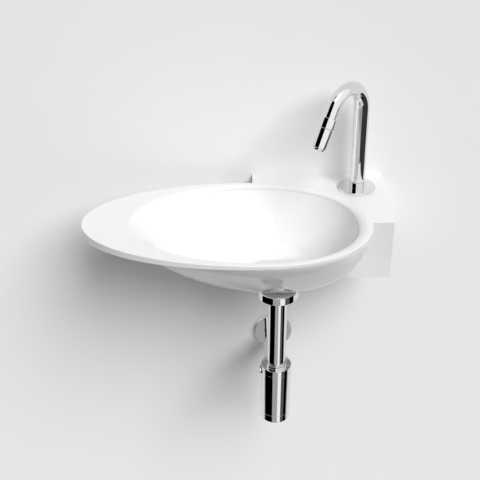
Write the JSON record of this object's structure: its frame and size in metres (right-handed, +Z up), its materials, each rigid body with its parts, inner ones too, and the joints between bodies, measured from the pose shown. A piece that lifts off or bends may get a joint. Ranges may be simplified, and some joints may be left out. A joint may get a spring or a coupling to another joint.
{
  "type": "corner basin",
  "caption": "Small wall-hung washbasin of white ceramic: egg-shaped bowl on a square block, with a gooseneck pillar tap and a chrome bottle trap to the wall.",
  "frame": {"origin": "on the wall plane, midway between the two hanger bolts, 60 mm below the rim", "axes": "+X along the wall to the right, +Y into the wall, +Z up"},
  "size_m": [0.501, 0.3689, 0.5936],
  "materials": {
    "glazed_ceramic": "white gloss glaze",
    "chrome": "polished chrome plate",
    "zinc_steel": "zinc plated",
    "brass": "machined",
    "black_rubber": "matte black",
    "white_nylon": "natural nylon",
    "disc_ceramic": "lapped alumina"
  },
  "bodies": {
    "basin": {"basin": "glazed_ceramic", "bolt_bushes": "white_nylon", "bolt_washers": "zinc_steel", "bolt_nuts": "zinc_steel", "hanger_bolts": "zinc_steel", "waste_body": "chrome", "waste_upper_seal": "black_rubber", "waste_lower_seal": "black_rubber", "waste_cover_nut": "chrome", "waste_tube_seal": "black_rubber", "down_tube": "chrome", "trap_lid": "chrome", "trap_lid_seal": "black_rubber", "trap_tube_seal": "black_rubber", "trap_body": "chrome", "trap_side_plug": "chrome", "trap_side_plug_seal": "black_rubber", "outlet_sleeve": "chrome", "outlet_seal": "black_rubber", "outlet_pipe": "chrome", "tap_escutcheon": "chrome", "tap_gasket": "black_rubber", "tap_base_collar": "chrome", "tap_shank": "brass", "journal_rings": "black_rubber", "tap_clamp_pad": "black_rubber", "tap_clamp_plate": "zinc_steel", "tap_clamp_nut": "brass"},
    "spout": {"spout_foot_ring": "chrome", "spout_bearing_bush": "white_nylon", "spout_stop_screw": "zinc_steel", "spout": "chrome", "spout_collar_ring": "chrome", "cartridge_body": "brass", "fixed_disc": "disc_ceramic", "control_ring": "black_rubber"},
    "control": {"control_sleeve": "chrome", "outlet_nozzle": "chrome", "disc_driver": "brass", "turning_disc": "disc_ceramic"},
    "drain_cover": {"drain_cover": "chrome", "cover_stem_ring": "black_rubber"},
    "rosette": {"wall_rosette": "chrome", "rosette_ring": "black_rubber"},
    "cap_ring": {"trap_cap_ring": "black_rubber"},
    "bottom_cap": {"trap_bottom_cap": "chrome"}
  },
  "joints": [
    {"name": "spout_swivel", "type": "hinge", "parent": "basin", "child": "spout", "pos_m": [0.0637, -0.054, 0.1], "axis": [0, 0, 1], "range_deg": [-45, 30]},
    {"name": "control_turn", "type": "hinge", "parent": "spout", "child": "control", "pos_m": [-0.01222, -0.14134, 0.17008], "axis": [-0.3359, -0.3864, -0.859], "range_deg": [0, 90]},
    {"name": "drain_cover_lift", "type": "slide", "parent": "basin", "child": "drain_cover", "axis": [0, 0, 1], "range_m": [0, 0.03]},
    {"name": "rosette_slide", "type": "slide", "parent": "basin", "child": "rosette", "axis": [0, -1, 0], "range_m": [0, 0.04]},
    {"name": "cap_lower", "type": "slide", "parent": "basin", "child": "cap_ring", "axis": [0, 0, -1], "range_m": [0, 0.0121]},
    {"name": "cap_unscrew", "type": "hinge", "parent": "cap_ring", "child": "bottom_cap", "pos_m": [-0.0715, -0.174, -0.325], "axis": [0, 0, -1], "range_deg": [0, 1440]}
  ],
  "couplings": [
    {"joint": "cap_lower", "follows": "cap_unscrew", "m_per_rad": 0.00047746}
  ]
}
